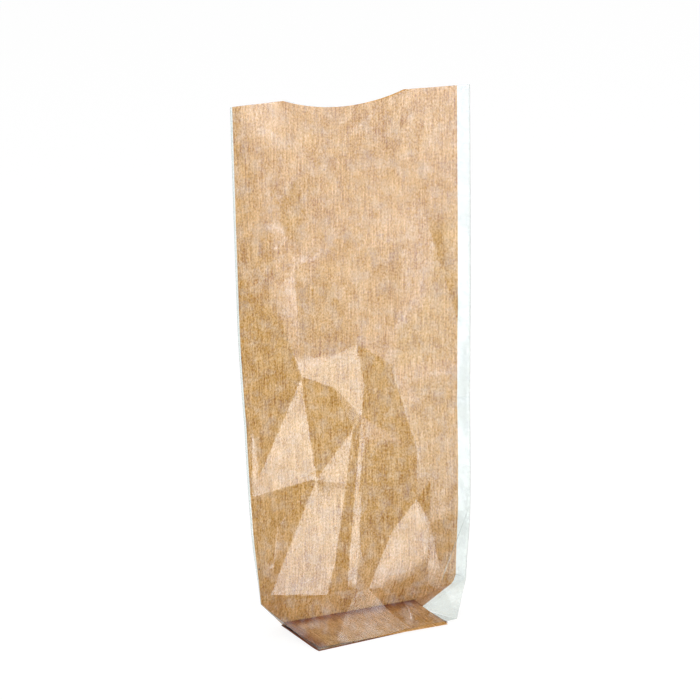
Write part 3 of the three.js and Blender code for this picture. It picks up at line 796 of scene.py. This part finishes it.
studio = {
    "floorSize": 30.0,  # m, from the middle to each side
    "floorColour": "6E6E6E",
    "floorGlow": 0.88,  # a light table shines through from below
    # what the film mirrors of the table: a board that only reflections see, lit by a lamp of its own.
    # Each paler zone has its x range, y range (m), how far its sides slant (m of x per m of y),
    # softness, and what it adds to the board's plain grey
    "boardHeight": 0.00005,
    "boardLight": 4.4,
    "boardGrey": 0.10,
    "boardZones": {
        "near": [[-0.205, -0.048], [-0.580, -0.122], 0.10, 0.010, (0.70, 0.70, 0.74)],
        "middle": [[-0.030, 0.300], [-0.500, -0.020], 0.15, 0.012, (0.05, 0.05, 0.05)],
        "topLeft": [[-0.110, -0.010], [-1.020, -0.900], 0.0, 0.020, (0.32, 0.30, 0.30)],
        "farLeft": [[-20.0, -0.100], [-28.0, -0.540], 0.0, 0.050, (0.12, 0.12, 0.16)],
        "far": [[-0.100, 20.0], [-28.0, -0.540], 0.0, 0.050, (0.31, 0.29, 0.36)],
        "farRight": [[0.400, 20.0], [-2.000, -0.560], 0.0, 0.080, (0.22, 0.21, 0.22)],
        "right": [[0.070, 1.000], [-0.560, -0.050], 0.60, 0.020, (0.36, 0.36, 0.38)],
        "knee": [[0.085, 0.150], [-0.095, 0.020], 0.0, 0.020, (0.30, 0.30, 0.30)],
    },
    "cloudSizes": [0.040, 0.120, 0.3],  # m, across, away and depth of the board's uneven patches
    "cloudSpread": 0.8,
    "cloudDetail": 3.0,
    "roomDark": 0.35,  # low down behind the camera
    "roomPale": 0.7,
    "roomSteps": [[0.12, 0.6], [-0.3, 0.3]],  # it pales upwards, and towards the back, between these
    # panels: middle (m), what it faces (m), width and length (m), radiance, whether the film mirrors it
    "panels": {
        "keyBox": [[0.733, -0.759, 0.525], [0.0, 0.0, 0.12], 0.80, 0.42, 1.6, True],
        "overhead": [[0.0, 0.1, 1.6], [0.0, 0.0, 0.0], 2.0, 2.0, 0.5, True],
        "frontFill": [[-0.16, -1.2, 0.30], [0.0, 0.0, 0.08], 0.9, 0.5, 5.6, False],  # only lights the paper
    },
}


def stagePlane(name, size, height, material):
    mesh = bpy.data.meshes.new(name)
    corners = [(-size, -size, height), (size, -size, height), (size, size, height), (-size, size, height)]
    mesh.from_pydata(corners, [], [(0, 1, 2, 3)])
    mesh.materials.append(material)
    plane = bpy.data.objects.new(name, mesh)
    bpy.context.scene.collection.objects.link(plane)
    return plane


# A white table that shines a little, the same all over
def tableMaterial():
    material, tree = newMaterial("lightTable")
    white = addNode(tree, "ShaderNodeBsdfPrincipled", None, {
        "Base Color": linearColour(studio["floorColour"]), "Roughness": 1.0, "Specular IOR Level": 0.0,
        "Emission Color": (1, 1, 1, 1), "Emission Strength": studio["floorGlow"]})
    showSurface(tree, white)
    return material


# Matt grey board with a few paler, soft-edged zones, each the product of four smooth steps along x and y.
# Cloudy noise about its middle makes all of it uneven.
def boardMaterial():
    material, tree = newMaterial("mattGreyBoard")
    place = addNode(tree, "ShaderNodeTexCoord").outputs["Object"]
    x, y, _ = addNode(tree, "ShaderNodeSeparateXYZ", None, {0: place}).outputs
    grey = [studio["boardGrey"]] * 3
    for xRange, yRange, slant, soft, paler in studio["boardZones"].values():
        slanted = maths(tree, "MULTIPLY_ADD", y, slant, x)
        share = 1.0
        for distance, (low, high) in ((slanted, xRange), (y, yRange)):
            for start, end in ((low - soft, low + soft), (high + soft, high - soft)):
                share = maths(tree, "MULTIPLY", share, smoothStep(tree, distance, start, end))
        tinted = addNode(tree, "ShaderNodeVectorMath", {"operation": "SCALE"}, {0: paler, "Scale": share})
        added = addNode(tree, "ShaderNodeVectorMath", {"operation": "ADD"}, {0: grey, 1: tinted.outputs[0]})
        grey = added.outputs[0]
    stretched = addNode(tree, "ShaderNodeMapping", {"vector_type": "TEXTURE"},
                        {"Vector": place, "Scale": studio["cloudSizes"]})
    clouds = addNode(tree, "ShaderNodeTexNoise", None,
                     {"Vector": stretched.outputs[0], "Scale": 1.0, "Detail": studio["cloudDetail"]})
    spread = studio["cloudSpread"]
    uneven = maths(tree, "MULTIPLY_ADD", clouds.outputs["Fac"], spread, 1 - spread / 2)
    clouded = addNode(tree, "ShaderNodeVectorMath", {"operation": "SCALE"}, {0: grey, "Scale": uneven})
    matt = addNode(tree, "ShaderNodeBsdfDiffuse", None, {"Color": clouded.outputs[0]})
    showSurface(tree, matt)
    return material


# The table, and just above it the board that only reflections see, with a lamp that lights nothing else
def floorAndBoard():
    stagePlane("floor", studio["floorSize"], 0.0, tableMaterial())
    board = stagePlane("board", studio["floorSize"], studio["boardHeight"], boardMaterial())
    board.visible_camera = board.visible_diffuse = board.visible_shadow = board.visible_transmission = False
    lit = bpy.data.collections.new("boardOnly")
    lit.objects.link(board)
    lamp = bpy.data.lights.new("boardLamp", "SUN")
    lamp.energy = studio["boardLight"] * math.pi
    lamp.use_shadow = False
    made = bpy.data.objects.new("boardLamp", lamp)
    bpy.context.scene.collection.objects.link(made)
    made.light_linking.receiver_collection = lit


# The room: pale, and dark low down in front, where the camera's side of the studio is
def roomLight():
    world = bpy.data.worlds.new("studio")
    bpy.context.scene.world = world
    world.use_nodes = True
    tree = world.node_tree
    place = addNode(tree, "ShaderNodeTexCoord")
    _, y, z = addNode(tree, "ShaderNodeSeparateXYZ", None, {0: place.outputs["Generated"]}).outputs
    pale = maths(tree, "MAXIMUM", *[smoothStep(tree, way, start, end)
                                    for way, (start, end) in zip((z, y), studio["roomSteps"])])
    level = addNode(tree, "ShaderNodeMapRange", None,
                    {"Value": pale, "To Min": studio["roomDark"], "To Max": studio["roomPale"]})
    tree.links.new(level.outputs[0], tree.nodes["Background"].inputs["Strength"])
    tree.nodes["Background"].inputs["Color"].default_value = (1, 1, 1, 1)


def softPanel(name, middle, faces, width, length, radiance, mirrored):
    light = bpy.data.lights.new(name, "AREA")
    light.shape = "RECTANGLE"
    light.size, light.size_y = width, length
    light.energy = radiance * math.pi * width * length
    made = bpy.data.objects.new(name, light)
    bpy.context.scene.collection.objects.link(made)
    way = (Vector(faces) - Vector(middle)).normalized()
    made.rotation_euler = way.to_track_quat("-Z", "Y").to_euler()
    made.location = middle
    made.visible_camera = False
    made.visible_glossy = mirrored


floorAndBoard()
for name, values in studio["panels"].items():
    softPanel(name, *values)
roomLight()
bpy.context.scene.view_settings.view_transform = "Standard"
bpy.context.scene.cycles.transparent_max_bounces = 24

view = {"azimuth": -14.004, "elevation": 14.037, "roll": -3.086, "distance": 1.5971,
        "aim": [-0.00571, 0.0, 0.14571], "lens": 164.57, "sensor": 36.0}


# Turned by azimuth and elevation (degrees) about the aim, at a distance (m), and rolled about its own axis
def placeCamera():
    a, e, r = [math.radians(view[key]) for key in ("azimuth", "elevation", "roll")]
    away = Vector((math.sin(a) * math.cos(e), -math.cos(a) * math.cos(e), math.sin(e)))
    right = Vector((math.cos(a), math.sin(a), 0))
    up = away.cross(right)
    right, up = right * math.cos(r) + up * math.sin(r), up * math.cos(r) - right * math.sin(r)
    camera = bpy.data.cameras.new("camera")
    camera.lens, camera.sensor_width = view["lens"], view["sensor"]
    made = bpy.data.objects.new("camera", camera)
    bpy.context.scene.collection.objects.link(made)
    turned = Matrix((right, up, away)).transposed().to_4x4()
    turned.translation = Vector(view["aim"]) + away * view["distance"]
    made.matrix_world = turned
    bpy.context.scene.camera = made


placeCamera()
print("studio set")
